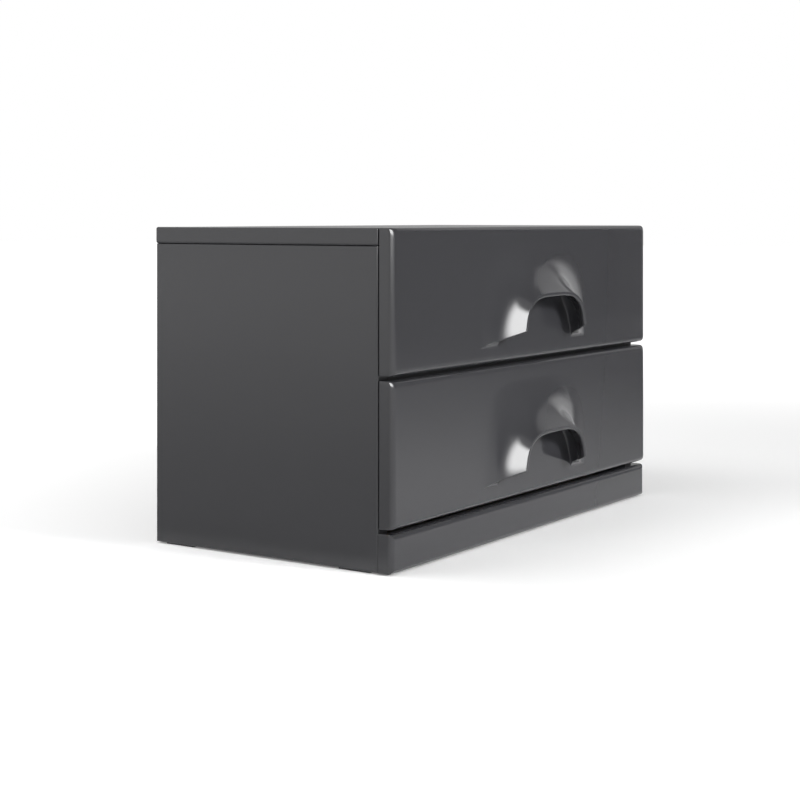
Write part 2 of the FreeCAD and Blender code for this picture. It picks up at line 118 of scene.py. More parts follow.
class HoodSizes(bpy.types.PropertyGroup):
    base: length("Underside height", "Hood's underside at the face, above the front's lower edge", 15.0)
    rise: length("Underside rise", "How much higher the hood's underside is at the rim", 8.5)
    foot_half_width: length("Foot half width", "Half the width of the hood where it leaves the face", 84.0)
    foot_height: length("Foot height", "Top of the hood's foot above the front's lower edge", 90.0)
    foot_fullness: number("Foot fullness", "Superellipse exponent of the foot's outline", 4.1)
    rim_half_width: length("Rim half width", "Half the width of the rim", 50.75)
    rim_height: length("Rim height", "Top of the rim above the front's lower edge", 51.6)
    rim_fullness: number("Rim fullness", "Superellipse exponent of the rim's outline", 3.6)
    waist: number("Waist", "How far the exponent drops between foot and rim", 1.33)
    side_flare: number("Side flare", "Power with which the hood's sides sweep out to the rim", 3.75)
    top_flare: number("Top flare", "Power with which the hood's top sweeps out to the rim", 2.57)
    flare_start: number("Flare start", "Share of the reach that keeps the foot from lying flat", 0.004)
    rim_flat: length("Rim flat", "Width of the flat part of the rim", 1.5)
    lip_radius: length("Lip radius", "Radius from the rim's flat into the pocket", 3.7)
    lip_fullness: number("Lip fullness", "Superellipse exponent of the pocket behind its lip", 4.0)
    pocket_half_width: length("Pocket half width", "Half the width of the pocket at the face", 61.3)
    pocket_height: length("Pocket height", "Top of the pocket at the face, above the front's edge", 65.0)
    pocket_fullness: number("Pocket fullness", "Superellipse exponent of the pocket at the face", 1.95)
    pocket_fillet: length("Pocket fillet", "Radius between the pocket's wall and the face", 1.2)
    underside_fillet: length("Underside fillet", "Radius between the hood's underside and the face", 3.2)


class BoardSizes(bpy.types.PropertyGroup):
    front_thickness: length("Front thickness", "Thickness of a drawer front without its hood", 12.0)
    front_radius: length("Front round-over", "Radius on the face edges of fronts and plinth", 4.0)
    front_corner: length("Front corner", "Softness of a drawer front's corners", 4.4)
    case_radius: length("Case round-over", "Radius on the outer edges of top and sides", 1.5)
    arris: length("Arris", "Softness of the other board edges", 0.5)
    veneer: length("Plywood layer", "Thickness of one layer of the plywood", 1.43)


class FinishLooks(bpy.types.PropertyGroup):
    lacquer: colour("Lacquer", "Charcoal pigment of the lacquer", "#38383B")
    lacquer_roughness: share("Lacquer roughness", "Satin level of the lacquer", 0.12)
    birch_light: colour("Birch, light", "Early wood of the birch veneers", "#DEC59B")
    birch_dark: colour("Birch, dark", "Late wood of the birch veneers", "#C9A878")
    pine_light: colour("Pine, light", "Early wood of the pine", "#DDBC88")
    pine_dark: colour("Pine, dark", "Late wood of the pine", "#B88952")
    beech: colour("Beech", "Turned beech of the dowels", "#CDA478")
    hardboard: colour("Painted hardboard", "Paint on the back panel", "#353336")
    zinc: colour("Zinc plate", "Plated steel of slides and screws", "#B6BABF")
    bearing: colour("Bearing steel", "Polished steel of the balls", "#C9CBCD")
    felt: colour("Felt", "Wool felt of the foot pads", "#2A2A2D")
    bumper: colour("Bumper", "Clear soft plastic of the bumpers", "#D5D8D4")


class StageLook(bpy.types.PropertyGroup):
    floor: colour("Floor", "Pale paper under the chest", "#F4F4F4")
    level: number("Light level", "Strength of the soft light all round", 0.4)
    lift: number("Floor lift", "How far the paper is lifted to white beside the chest", 0.12)


# Surfaces

def superellipse_arch(half_width, height, fullness, angle):
    """Points (a cos, b sin) over the n-th root of |cos|^n + |sin|^n: the upper half of a
    superellipse for angles from 0 to half a turn."""
    c, s = np.cos(angle), np.sin(angle)
    reach = (np.abs(c) ** fullness + np.abs(s) ** fullness) ** (-1.0 / fullness)
    return half_width * c * reach, height * s * reach


def arch_start(height, fullness, level):
    """The angle at which that arch passes a level: the same formula solved for its angle."""
    up = level / height
    return np.arctan2(up, (1.0 - up ** fullness) ** (1.0 / fullness))


def cove(distance, radius):
    """How far a quarter-round fillet stands out at a distance p from its plane:
    r - sqrt(r^2 - (r - p)^2), and nothing past r."""
    rest = np.clip(radius - distance, 0.0, radius)
    return radius - np.sqrt(radius ** 2 - rest ** 2)


def flare(reach, power, start):
    """Share of the way from foot to rim at a reach t: the k-th root of t + t0 less that
    root of t0, scaled to end at 1. The sweep is nearly flat at the foot, steepest at the rim."""
    root = start ** (1 / power)
    return ((reach + start) ** (1 / power) - root) / ((1 + start) ** (1 / power) - root)


def mixed(a, b, part):
    return a + (b - a) * part


def split(a, b, inset):
    """Four points from a to b: both ends, and a point inside of each by the inset, or by three
    tenths of the way where that is less."""
    span = np.linalg.norm(b - a, axis=-1, keepdims=True)
    f = np.minimum(inset / span, 0.3)
    return np.stack([a, a + (b - a) * f, b - (b - a) * f, b], axis=-2)


def graded(a, b, first, last, steps):
    """Points from a to b, with one close to each end and even steps between those two."""
    span = np.linalg.norm(b - a, axis=-1, keepdims=True)
    low, high = first / span, 1.0 - last / span
    inner = low + (high - low) * np.linspace(0.0, 1.0, steps + 1)
    f = np.concatenate([np.zeros_like(low), inner, np.ones_like(low)], axis=-1)[..., None]
    return a[..., None, :] + (b - a)[..., None, :] * f


def coons(bottom, top, left, right):
    """A patch between four edges: the sum of both ruled surfaces less the bilinear one."""
    s = np.linspace(0.0, 1.0, len(bottom))[None, :, None]
    t = np.linspace(0.0, 1.0, len(left))[:, None, None]
    ruled = (1 - t) * bottom[None] + t * top[None] + (1 - s) * left[:, None] + s * right[:, None]
    corners = ((1 - t) * ((1 - s) * bottom[0] + s * bottom[-1])
               + t * ((1 - s) * top[0] + s * top[-1]))
    return ruled - corners


def grid_quads(rows, columns, start=0, closed=False):
    """Corner numbers of a grid's quads, row by row."""
    number_of = start + np.arange(rows * columns).reshape(rows, columns)
    if closed:
        number_of = np.concatenate([number_of, number_of[:, :1]], axis=1)
    corners = (number_of[:-1, :-1], number_of[:-1, 1:], number_of[1:, 1:], number_of[1:, :-1])
    return np.stack(corners, axis=-1).reshape(-1, 4)


def welded(grids, cap):
    """Joins grids of points into one mesh: points in the same place become one corner, and
    quads that shrink to nothing go. The cap's points become one more face."""
    points = np.concatenate([g.reshape(-1, 3) for g in grids])
    starts = np.cumsum([0] + [g.shape[0] * g.shape[1] for g in grids])
    quads = np.concatenate([grid_quads(g.shape[0], g.shape[1], s) for g, s in zip(grids, starts)])
    keys = np.round(points / WELD_STEP).astype(np.int64)
    _, first, place = np.unique(keys, axis=0, return_index=True, return_inverse=True)
    place = place.reshape(-1)
    quads = place[quads]
    quads = quads[(np.diff(np.sort(quads, axis=1), axis=1) > 0).all(axis=1)]
    gaps = np.abs(points[None] - cap[:, None]).sum(axis=2)
    return points[first], quads.tolist() + [place[gaps.argmin(axis=1)].tolist()]


def finished_piece(name, mesh, body, node, material):
    """A smooth-shaded piece that stands for one node, rides on its body and takes its slot."""
    shell = bmesh.new()
    shell.from_mesh(mesh)
    bmesh.ops.recalc_face_normals(shell, faces=shell.faces)
    shell.to_mesh(mesh)
    shell.free()
    mesh.shade_smooth()
    mesh.materials.clear()
    mesh.materials.append(material)
    piece = bpy.data.objects.new(name, mesh)
    bpy.context.scene.collection.objects.link(piece)
    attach(piece, body)
    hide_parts(node)
    return piece


def mesh_of(name, points, faces):
    mesh = bpy.data.meshes.new(name)
    mesh.from_pydata(points.reshape(-1, 3).tolist(), [], faces)
    mesh.validate()
    return mesh


def rounded_edge(radius):
    """Inset and depth along a quarter-round edge, r (1 - sin t) and r (1 - cos t), with one
    more point just past each end that keeps the flats flat."""
    inset = np.concatenate([[radius + BOARD_STEP], radius * (1 - np.sin(QUARTER)), [0.0]])
    depth = np.concatenate([[0.0], radius * (1 - np.cos(QUARTER)), [radius + BOARD_STEP]])
    return np.stack([inset, depth], axis=1)


def slab(low, high, across, near_radius, far_radius, corner_radius):
    """A board with rounded edges: its outline is a rectangle with quarter-round corners, and
    it is carried through the thickness, drawn in along the rounded edge of either face."""
    low, high = np.array(low), np.array(high)
    u_axis, v_axis = [a for a in range(3) if a != across]
    half, middle = (high - low) / 2, (high + low) / 2
    far = rounded_edge(far_radius)[::-1] * [1, -1] + [0, high[across] - low[across]]
    rows = np.concatenate([rounded_edge(near_radius), far])
    inset, depth = rows[:, 0, None, None], rows[:, 1, None, None]
    bend = np.maximum(corner_radius - inset, LEAST_CORNER)
    turned = np.arange(4)[:, None] * np.pi / 2 + QUARTER
    u_side, v_side = np.array([[1], [-1], [-1], [1]]), np.array([[1], [1], [-1], [-1]])
    u = u_side * (half[u_axis] - inset - bend) + bend * np.cos(turned)
    v = v_side * (half[v_axis] - inset - bend) + bend * np.sin(turned)
    ends = turned[:, [0, -1]]
    run = np.array([1.0, -1.0]) * BOARD_STEP
    u_ends, v_ends = u[..., [0, -1]] + np.sin(ends) * run, v[..., [0, -1]] - np.cos(ends) * run
    u = np.concatenate([u_ends[..., :1], u, u_ends[..., 1:]], axis=2).reshape(len(rows), -1)
    v = np.concatenate([v_ends[..., :1], v, v_ends[..., 1:]], axis=2).reshape(len(rows), -1)
    points = np.empty(u.shape + (3,))
    points[..., u_axis] = middle[u_axis] + u
    points[..., v_axis] = middle[v_axis] + v
    points[..., across] = low[across] + depth[:, 0]
    count = u.shape[1]
    faces = grid_quads(len(rows), count, closed=True).tolist()
    last = (len(rows) - 1) * count
    return points, faces + [list(range(count)), list(range(last, last + count))]


def hood_arches(sizes, depth, columns):
    """Sections of the hood at several reaches p = t P from the face. The outer arch goes from
    the foot's outline to the rim's by the flare of t, and its exponent dips between them. The
    pocket's arch goes evenly with t and opens out in a quarter round at the rim. Both are cut
    by a plane that rises with t. Returns the outer and inner points and the pocket's edge."""
    lip_start = (1 - sizes.lip_radius / depth) ** (1 / SECTION_PACE)
    wall = depth * np.linspace(0.0, lip_start, WALL_ROWS, endpoint=False) ** SECTION_PACE
    lip = depth - sizes.lip_radius * (1 - np.sin(LIP_TURNS))
    p = np.concatenate([wall, lip])[:, None]
    t = p / depth
    u = t ** (1 / SECTION_PACE)
    side, top = (flare(t, power, sizes.flare_start) for power in (sizes.side_flare, sizes.top_flare))
    outer = (mixed(sizes.foot_half_width, sizes.rim_half_width, side),
             mixed(sizes.foot_height, sizes.rim_height, top),
             mixed(sizes.foot_fullness, sizes.rim_fullness, u) - 4 * sizes.waist * u * (1 - u))
    rim_wall = sizes.rim_flat + sizes.lip_radius
    widening = cove(depth - p, sizes.lip_radius)
    opening = widening - cove(p, sizes.pocket_fillet)
    lip_fullness = (sizes.rim_fullness - sizes.lip_fullness) * widening / sizes.lip_radius
    inner = (mixed(sizes.pocket_half_width, sizes.rim_half_width - rim_wall, t) + opening,
             mixed(sizes.pocket_height, sizes.rim_height - rim_wall, t) + opening,
             mixed(sizes.pocket_fullness, sizes.lip_fullness, t) + lip_fullness)
    edge = (inner[0][:1] - FOOT_STEP, inner[1][:1] - FOOT_STEP, inner[2][:1])
    under = sizes.base + sizes.rise * t - cove(p, sizes.underside_fillet)
    arches = []
    for wide, tall, full in (outer, inner, edge):
        start = arch_start(tall, full, under[:len(tall)])
        x, z = superellipse_arch(wide, tall, full, start + columns * (np.pi - 2 * start))
        arches.append(np.stack([x, -np.broadcast_to(p[:len(tall)], x.shape), z], axis=-1))
    return arches


def face_outline(boards, centre, bound, face, start_z):
    """The edge of the flat face beside and above the hood: from a height on the right up,
    over the top, and down again on the left."""
    top_z = centre[Z] + bound[1]
    soft = boards.front_corner
    side_z = np.append(np.linspace(start_z, top_z - soft, SIDE_STEPS), top_z)
    top_x = np.linspace(bound[0] - soft, soft - bound[0], TOP_STEPS - 1)
    right = np.stack([np.full_like(side_z, bound[0]), np.full_like(side_z, face), side_z], axis=1)
    top = np.stack([top_x, np.full_like(top_x, face), np.full_like(top_x, top_z)], axis=1)
    return np.concatenate([right, top, right[::-1] * [-1, 1, 1]])


def edge_ring(boards, path, centre, half, bound, face):
    """Rows that carry the closed outline of the flat face over the round-over to the back. The
    points beside a corner move out to the corner as the rows leave the face."""
    place = (path[:, [X, Z]] - centre[[X, Z]]) / bound
    beside_corner = np.isclose(bound * (1 - np.abs(place)), boards.front_corner, atol=WELD_STEP)
    outward = np.sign(place) * beside_corner * (boards.front_corner - SHARP_STEP)
    radius, thick = boards.front_radius, boards.front_thickness
    inset = np.concatenate([radius * (1 - np.sin(QUARTER)), [0, 0, 0, SHARP_STEP]])
    depth = np.concatenate([radius * (1 - np.cos(QUARTER)),
                            [radius + SHARP_STEP, thick - SHARP_STEP, thick, thick]])[:, None]
    squared = np.clip(depth / radius - 0.5, 0.0, 1.0)[..., None]
    flat = centre[[X, Z]] + place * (half - inset[:, None, None]) + outward * squared
    return np.stack([flat[..., 0], np.broadcast_to(face + depth, flat.shape[:2]), flat[..., 1]], axis=-1)


def drawer_front_surface(sizes, boards, low, high):
    """A drawer front: a board with rounded face edges, out of which the hood grows. Its
    blocks share their edges: the hood's outer and inner wall and its two undersides, the
    rim between them, the face round the hood, the pocket's back and the strip below, and a
    ring that carries the board's outline over its round-over to the back."""
    centre, half = (low + high) / 2, (high - low)[[X, Z]] / 2
    face = high[Y] - boards.front_thickness
    bound, soft = half - boards.front_radius, boards.front_corner
    arch_steps = 2 * SIDE_STEPS + TOP_STEPS
    even = np.linspace(0, 1, arch_steps - 1)[1:-1]
    columns = np.concatenate([[0.0, END_COLUMN], even, [1 - END_COLUMN, 1.0]])
    foot = np.array([0.0, face, low[Z]])
    outer, inner, edge = (a + foot for a in hood_arches(sizes, face - low[Y], columns))
    edge = edge[0]
    right_under = split(outer[:, 0], inner[:, 0], SHARP_STEP)
    left_under = split(outer[:, -1], inner[:, -1], SHARP_STEP)
    rim = split(outer[-1], inner[-1], CRISP_STEP)

    outline = face_outline(boards, centre, bound, face, outer[0, 0, Z])
    round_hood = graded(outer[0], outline, FOOT_STEP, soft, FACE_ROWS)

    pocket_ring = np.stack([inner[0], edge], axis=1)
    across = np.linspace(0, 1, arch_steps - 2 * POCKET_CORNER + 1)[:, None]
    chord = mixed(edge[0], edge[-1], across)
    pocket_top = edge[POCKET_CORNER:arch_steps - POCKET_CORNER + 1]
    pocket_back = coons(chord, pocket_top, edge[:POCKET_CORNER + 1], edge[::-1][:POCKET_CORNER + 1])

    above = np.concatenate([round_hood[0, ::-1], right_under[0, 1:], pocket_ring[0, 1:], chord[1:-1],
                            pocket_ring[-1, ::-1], left_under[0, ::-1][1:], round_hood[-1, 1:]])
    below = above.copy()
    below[:, Z] = centre[Z] - bound[1]
    strip = graded(above, below, FOOT_STEP, soft, STRIP_ROWS)

    path = np.concatenate([outline, strip[-1, 1:], strip[::-1, -1][1:], strip[0, ::-1][1:]])
    ring = edge_ring(boards, path, centre, half, bound, face)
    grids = [outer, inner, right_under, left_under, rim, round_hood, pocket_ring, pocket_back,
             strip, ring]
    return welded(grids, ring[-1, :-1])


# Nodes and patterns

def add(tree, kind, links=None, **settings):
    """Adds a node to a tree. links gives its inputs, as values or as other nodes' outputs;
    settings are its own properties."""
    node = tree.nodes.new(kind)
    for key, value in settings.items():
        setattr(node, key, value)
    for key, value in (links or {}).items():
        if isinstance(value, bpy.types.NodeSocket):
            tree.links.new(value, node.inputs[key])
        else:
            node.inputs[key].default_value = value
    return node


def new_tree(name):
    """A new material with an empty node tree."""
    material = bpy.data.materials.new(name)
    material.use_nodes = True
    material.node_tree.nodes.clear()
    return material, material.node_tree


def fibres(tree, sizes_mm, detail=3.0):
    """Noise whose cells measure the given millimetres along X, Y and Z."""
    place = add(tree, "ShaderNodeTexCoord").outputs["Object"]
    scaled = add(tree, "ShaderNodeMapping", {"Vector": place, "Scale": [1 / (s * MM) for s in sizes_mm]})
    return add(tree, "ShaderNodeTexNoise", {"Vector": scaled.outputs[0], "Scale": 1.0,
                                            "Detail": detail}).outputs["Fac"]


def along_axis(axis, long_mm, short_mm):
    """Cell sizes of a grain that runs along one axis."""
    return [long_mm if a == axis else short_mm for a in range(3)]


def shaded(tint, share_of_light):
    return [c * share_of_light for c in tint]


def stained(tree, part, low, high, dark, light):
    """A colour that goes from dark to light while part goes from low to high."""
    ramp = add(tree, "ShaderNodeMapRange", {"Value": part, "From Min": low, "From Max": high})
    return add(tree, "ShaderNodeMix", {0: ramp.outputs[0], 6: (*dark, 1.0), 7: (*light, 1.0)},
               data_type="RGBA").outputs[2]


def uneven_gloss(tree, pattern, smooth, rough):
    """A roughness that goes from smooth to rough with a pattern."""
    return add(tree, "ShaderNodeMapRange", {"Value": pattern, "To Min": smooth,
                                            "To Max": rough}).outputs[0]


def finish_surface(tree, height, relief_mm, **sockets):
    """The material's last nodes: a relief of that many millimetres under one shader."""
    bump = add(tree, "ShaderNodeBump", {"Height": height, "Strength": 1.0, "Distance": relief_mm * MM})
    values = {name.replace("_", " "): value for name, value in sockets.items()}
    shader = add(tree, "ShaderNodeBsdfPrincipled", {"Normal": bump.outputs["Normal"], **values})
    add(tree, "ShaderNodeOutputMaterial", {"Surface": shader.outputs["BSDF"]})


# Materials

def lacquer(looks):
    """Satin polyurethane lacquer sprayed on fibreboard: a dark even pigment under one smooth
    glossy skin. The spray leaves shallow waves some 3 mm apart and a faintly uneven gloss."""
    material, tree = new_tree("satin_polyurethane_lacquer_sprayed")
    waves = fibres(tree, (3, 3, 3), 2.0)
    unevenness = 0.02
    gloss = uneven_gloss(tree, fibres(tree, (45, 45, 45), 2.0), looks.lacquer_roughness - unevenness,
                         looks.lacquer_roughness + unevenness)
    finish_surface(tree, waves, 0.004, Base_Color=(*looks.lacquer, 1.0), Roughness=gloss, IOR=1.5)
    return material


def painted_hardboard(looks):
    """Hardboard, pressed wet on a fine mesh and roller-painted: matt, with a fibrous skin.
    The fibres, really 0.3 mm wide, are drawn 1 mm wide so that they show."""
    material, tree = new_tree("roller_painted_hardboard")
    skin = fibres(tree, (1, 1, 1), 4.0)
    paint = stained(tree, fibres(tree, (12, 12, 12)), 0.35, 0.65, shaded(looks.hardboard, 0.85),
                    looks.hardboard)
    finish_surface(tree, skin, 0.12, Base_Color=paint, Roughness=0.6, IOR=1.48)
    return material


def birch_plywood(looks, layer, name, low, across, along):
    """Birch plywood, rotary-cut and pressed, under clear matt lacquer: pale faces with long
    soft figure and fine pores, and edges that show layers of long and end grain in turn."""
    material, tree = new_tree("birch_plywood_" + name)
    # How far the pores shift the figure, a glue line's share of a layer, the light that end
    # grain and glue give back beside dark wood, and how squarely a face looks across
    pore_strength, glue_line = 0.12, 0.06
    end_grain_light, glue_light = 0.55, 0.3
    squarely = 0.7
    place = add(tree, "ShaderNodeTexCoord")
    figure = fibres(tree, along_axis(along, 260, 14), 2.0)
    pores = fibres(tree, along_axis(along, 18, 0.9), 3.0)
    pore_mark = add(tree, "ShaderNodeMapRange", {"Value": pores, "To Min": -pore_strength,
                                                 "To Max": pore_strength})
    mark = add(tree, "ShaderNodeMath", {0: figure, 1: pore_mark.outputs[0]}, operation="ADD")
    face = stained(tree, mark.outputs[0], 0.36, 0.62, looks.birch_dark, looks.birch_light)
    height = add(tree, "ShaderNodeSeparateXYZ", {0: place.outputs["Object"]}).outputs[across]
    above = add(tree, "ShaderNodeMath", {0: height, 1: low[across]}, operation="SUBTRACT")
    layers = add(tree, "ShaderNodeMath", {0: above.outputs[0], 1: layer}, operation="DIVIDE")
    saw = add(tree, "ShaderNodeMath", {0: layers.outputs[0], 1: 1.0}, operation="PINGPONG")
    odd = add(tree, "ShaderNodeMath", {0: layers.outputs[0], 1: 2.0}, operation="FLOORED_MODULO")
    end_grain = add(tree, "ShaderNodeMath", {0: odd.outputs[0], 1: 1.0}, operation="GREATER_THAN")
    glue = add(tree, "ShaderNodeMath", {0: saw.outputs[0], 1: glue_line}, operation="LESS_THAN")
    end_tint, glue_tint = ((*shaded(looks.birch_dark, light), 1.0) for light in (end_grain_light, glue_light))
    plies = add(tree, "ShaderNodeMix", {0: end_grain.outputs[0], 6: face, 7: end_tint}, data_type="RGBA")
    edge = add(tree, "ShaderNodeMix", {0: glue.outputs[0], 6: plies.outputs[2], 7: glue_tint},
               data_type="RGBA")
    facing = add(tree, "ShaderNodeSeparateXYZ", {0: place.outputs["Normal"]}).outputs[across]
    flat = add(tree, "ShaderNodeMath", {0: facing}, operation="ABSOLUTE")
    on_face = add(tree, "ShaderNodeMath", {0: flat.outputs[0], 1: squarely}, operation="GREATER_THAN")
    wood = add(tree, "ShaderNodeMix", {0: on_face.outputs[0], 6: edge.outputs[2], 7: face},
               data_type="RGBA")
    finish_surface(tree, pores, 0.05, Base_Color=wood.outputs[2], Roughness=0.42, IOR=1.5)
    return material


def raw_pine(looks, name, along):
    """Sawn pine, planed and left bare: pale early wood with darker late-wood lines some 3 mm
    apart that run the length of the piece."""
    material, tree = new_tree("planed_pine_" + name)
    rings = fibres(tree, along_axis(along, 240, 3), 3.0)
    wood = stained(tree, rings, 0.38, 0.6, looks.pine_dark, looks.pine_light)
    finish_surface(tree, rings, 0.15, Base_Color=wood, Roughness=0.65, IOR=1.5)
    return material


def turned_beech(looks):
    """Turned beech dowel, bare: an even tan with short dark ray flecks under 1 mm wide."""
    material, tree = new_tree("turned_beech")
    flecks = fibres(tree, (1.2, 1.2, 1.2), 2.0)
    wood = stained(tree, flecks, 0.32, 0.5, shaded(looks.beech, 0.6), looks.beech)
    finish_surface(tree, flecks, 0.05, Base_Color=wood, Roughness=0.6, IOR=1.5)
    return material


def zinc_plated_steel(looks):
    """Cold-rolled steel strip, roll-formed and zinc-plated: a cool grey metal, softly
    streaked along the strip, with a slightly cloudy passivated shine."""
    material, tree = new_tree("zinc_plated_rolled_steel")
    # Rolling lines, really 0.1 mm apart, are drawn 0.8 mm apart so that they show
    lines = fibres(tree, along_axis(Y, 90, 0.8), 2.0)
    clouds = fibres(tree, (7, 7, 7), 3.0)
    plate = stained(tree, clouds, 0.3, 0.7, shaded(looks.zinc, 0.82), looks.zinc)
    finish_surface(tree, lines, 0.02, Base_Color=plate, Metallic=1.0,
                   Roughness=uneven_gloss(tree, clouds, 0.24, 0.4))
    return material


def bearing_steel(looks):
    """Hardened bearing steel, ground and polished: a bright mirror with a thin oily haze."""
    material, tree = new_tree("polished_bearing_steel")
    haze = fibres(tree, (0.8, 0.8, 0.8), 2.0)
    finish_surface(tree, haze, 0.002, Base_Color=(*looks.bearing, 1.0), Metallic=1.0,
                   Roughness=uneven_gloss(tree, haze, 0.08, 0.2))
    return material


def screw_steel(looks):
    """Cold-headed screw steel, barrel-plated with zinc: dull bright metal with small dents
    from the barrel."""
    material, tree = new_tree("barrel_plated_screw_steel")
    dents = fibres(tree, (1, 1, 1), 2.0)
    plate = stained(tree, dents, 0.3, 0.7, shaded(looks.zinc, 0.75), looks.zinc)
    finish_surface(tree, dents, 0.03, Base_Color=plate, Metallic=1.0, Roughness=0.34)
    return material


def wool_felt(looks):
    """Pressed wool felt: quite matt, with a loose nap that catches light at its edges. The
    nap's fibres are drawn 0.6 mm thick so that they show."""
    material, tree = new_tree("pressed_wool_felt")
    nap = fibres(tree, (0.6, 0.6, 0.6), 5.0)
    wool = stained(tree, nap, 0.35, 0.65, shaded(looks.felt, 0.5), looks.felt)
    finish_surface(tree, nap, 0.5, Base_Color=wool, Roughness=0.95, Sheen_Weight=0.5, Sheen_Roughness=0.4)
    return material


def cast_polyurethane(looks):
    """Clear soft polyurethane, cast in domes: see-through and slightly cloudy, with a tacky
    half-gloss skin."""
    material, tree = new_tree("cast_clear_polyurethane")
    cloud = fibres(tree, (2, 2, 2), 2.0)
    finish_surface(tree, cloud, 0.02, Base_Color=(*looks.bumper, 1.0), Transmission_Weight=0.6, IOR=1.5,
                   Roughness=uneven_gloss(tree, cloud, 0.25, 0.4))
    return material


def dress(material, *nodes):
    """Gives CAD nodes that keep their own shape a finish."""
    for node in nodes:
        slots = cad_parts[node].data.materials
        for i in range(len(slots)):
            slots[i] = material


def smooth_copy(node, body, material):
    """A copy of a round CAD part with its corners merged, so that it shades as one curved
    surface up to its creases."""
    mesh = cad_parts[node].data.copy()
    mesh.name = node + "_smooth"
    shell = bmesh.new()
    shell.from_mesh(mesh)
    bmesh.ops.remove_doubles(shell, verts=shell.verts, dist=WELD_STEP)
    shell.to_mesh(mesh)
    shell.free()
    finished_piece(mesh.name, mesh, body, node, material)
    mesh.set_sharp_from_angle(angle=math.radians(CREASE_DEGREES))


# Studio

# How far the paper floor reaches each way, in metres
FLOOR_REACH = 12.0
# A card's grid is fine enough for its soft edges. U and V run from 0 to 1 over its columns and rows
CARD_COLUMNS, CARD_ROWS = 49, 33
CARD_U, CARD_V = np.meshgrid(np.linspace(0.0, 1.0, CARD_COLUMNS), np.linspace(0.0, 1.0, CARD_ROWS))


def stage_object(scene, name, points, faces):
    thing = bpy.data.objects.new(name, mesh_of(name, points, faces))
    scene.collection.objects.link(thing)
    return thing


def seen_directly(tree):
    """1 for rays that show the background itself: from the camera, off gloss or through glass."""
    path = add(tree, "ShaderNodeLightPath")
    first = add(tree, "ShaderNodeMath", {0: path.outputs["Is Camera Ray"], 1: path.outputs["Is Glossy Ray"]},
                operation="MAXIMUM")
    return add(tree, "ShaderNodeMath", {0: first.outputs[0], 1: path.outputs["Is Transmission Ray"]},
               operation="MAXIMUM").outputs[0]


def white_studio(scene, level):
    """A world that gives soft light from all round and looks white itself."""
    world = bpy.data.worlds.new("white_studio")
    scene.world = world
    world.use_nodes = True
    tree = world.node_tree
    tree.nodes.clear()
    soft = add(tree, "ShaderNodeBackground", {"Color": (1, 1, 1, 1), "Strength": level})
    white = add(tree, "ShaderNodeBackground", {"Color": (1, 1, 1, 1), "Strength": 1.0})
    both = add(tree, "ShaderNodeMixShader", {0: seen_directly(tree), 1: soft.outputs[0],
                                             2: white.outputs[0]})
    add(tree, "ShaderNodeOutputWorld", {"Surface": both.outputs[0]})


def paper(look):
    """White studio paper: matt, its colour lifted to white where it is seen directly. The lift
    grows with the distance from the place right of the chest's front where its shadow falls."""
    shadow_place, near, far, far_lift = (0.1, -0.15, 0.0), 0.25, 1.4, 0.8
    material, tree = new_tree("white_paper_sweep")
    matt = add(tree, "ShaderNodeBsdfDiffuse", {"Color": (*look.floor, 1.0)})
    place = add(tree, "ShaderNodeTexCoord").outputs["Object"]
    away = add(tree, "ShaderNodeVectorMath", {0: place, 1: shadow_place}, operation="DISTANCE")
    lift = add(tree, "ShaderNodeMapRange", {"Value": away.outputs["Value"], "From Min": near, "From Max": far,
                                            "To Min": look.lift, "To Max": far_lift}).outputs[0]
    glow = add(tree, "ShaderNodeEmission", {"Color": (1, 1, 1, 1), "Strength": lift})
    both = add(tree, "ShaderNodeAddShader", {0: matt.outputs[0], 1: glow.outputs[0]})
    seen = add(tree, "ShaderNodeMixShader", {0: seen_directly(tree), 1: matt.outputs[0],
                                             2: both.outputs[0]})
    add(tree, "ShaderNodeOutputMaterial", {"Surface": seen.outputs[0]})
    return material


def paper_floor(scene, look):
    corners = np.array([(-1, -1, 0), (1, -1, 0), (1, 1, 0), (-1, 1, 0)]) * FLOOR_REACH
    floor = stage_object(scene, "paper_floor", corners, [(0, 1, 2, 3)])
    floor.data.materials.append(paper(look))


def round_about(turn, lift, distance):
    """The point (sin a cos e, -cos a cos e, sin e) times the distance, for turn a from the
    front and lift e above the floor, in radians."""
    return distance * np.stack([np.sin(turn) * np.cos(lift), -np.cos(turn) * np.cos(lift),
                                np.sin(lift)], axis=-1)


def bowl(turn, lift, distance):
    """A card's points, curved round the chest between two turns from the front and two lifts
    above the floor, in degrees."""
    return round_about(np.radians(mixed(*turn, CARD_U)), np.radians(mixed(*lift, CARD_V)), distance)


def mat(across, along, slant):
    """A card's points, flat on the floor: x runs between two values and leans by the slant times
    the distance to the front, and y runs between two others."""
    y = mixed(*along, CARD_V)
    return np.stack([mixed(*across, CARD_U) - slant * y, y, np.full_like(y, MM)], axis=-1)


def card_glow():
    """Glowing cloth over a card, as bright and as covering as the card's attributes say."""
    material, tree = new_tree("lit_studio_card")
    brightness, cover = (add(tree, "ShaderNodeAttribute", attribute_name=name).outputs["Fac"]
                         for name in ("glow", "cover"))
    glow = add(tree, "ShaderNodeEmission", {"Strength": brightness})
    clear = add(tree, "ShaderNodeBsdfTransparent")
    both = add(tree, "ShaderNodeMixShader", {0: cover, 1: clear.outputs[0], 2: glow.outputs[0]})
    add(tree, "ShaderNodeOutputMaterial", {"Surface": both.outputs[0]})
    return material


